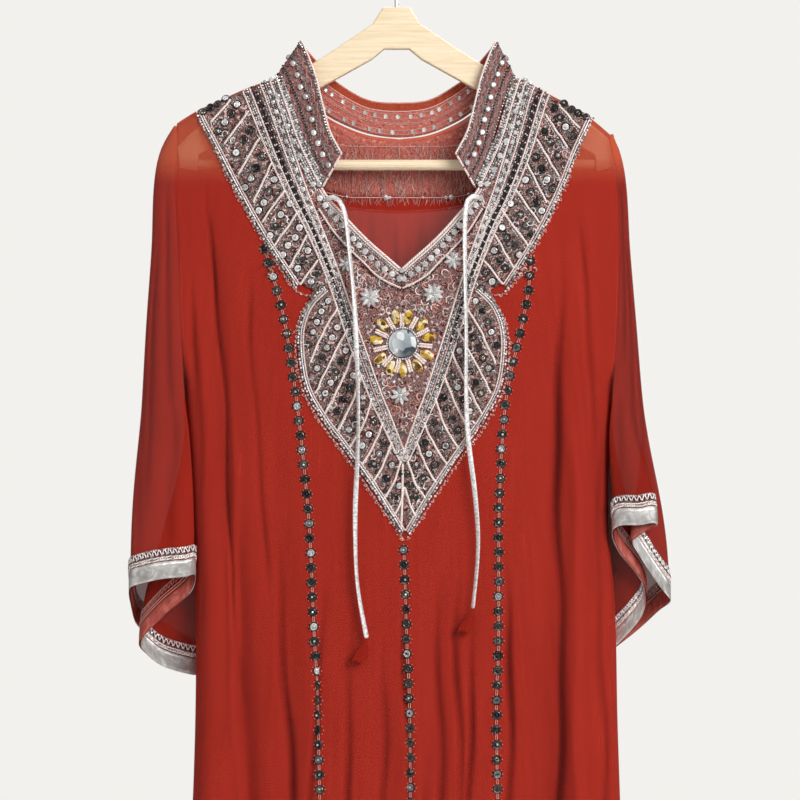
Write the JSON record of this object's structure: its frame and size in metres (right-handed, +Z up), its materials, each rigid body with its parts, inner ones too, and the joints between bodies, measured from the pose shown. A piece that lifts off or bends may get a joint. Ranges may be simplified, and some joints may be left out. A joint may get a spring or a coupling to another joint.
{
  "type": "kaftan on a clothes hanger",
  "caption": "Loose long kaftan with stand collar, V neck, beaded yoke and wide sleeves, hanging on a flat wooden hanger.",
  "frame": {"origin": "top of the inside of the hanger's hook, where a rail carries it", "axes": "+Z up, +X to the viewer's right, the garment's front faces -Y"},
  "size_m": [0.519, 0.1461, 1.4234],
  "materials": {
    "chiffon": "matt, sheer",
    "beadwork": "thread and bead embroidery",
    "silver_trim": "metallic thread",
    "smoke_glass": "faceted, polished",
    "amber_glass": "faceted, polished",
    "pine": "satin",
    "steel": "polished"
  },
  "bodies": {
    "root": {"back_panel": "chiffon", "centre_stone": "smoke_glass", "collar": "beadwork", "cuff_ribbon_left": "silver_trim", "cuff_ribbon_right": "silver_trim", "drawstring_left": "silver_trim", "drawstring_right": "silver_trim", "drawstring_tab_left": "chiffon", "drawstring_tab_right": "chiffon", "front_panel": "chiffon", "hanger_arms": "pine", "hanger_bar": "pine", "hanger_hook": "steel", "neck_edging_left": "silver_trim", "neck_edging_right": "silver_trim", "petal_stone_01": "amber_glass", "petal_stone_02": "amber_glass", "petal_stone_03": "amber_glass", "petal_stone_04": "amber_glass", "petal_stone_05": "amber_glass", "petal_stone_06": "amber_glass", "petal_stone_07": "amber_glass", "petal_stone_08": "amber_glass", "petal_stone_09": "amber_glass", "petal_stone_10": "amber_glass", "petal_stone_11": "amber_glass", "rope_band_left": "silver_trim", "rope_band_right": "silver_trim", "sleeve_left": "chiffon", "sleeve_right": "chiffon", "yoke_back": "beadwork", "yoke_front": "beadwork"}
  },
  "joints": []
}
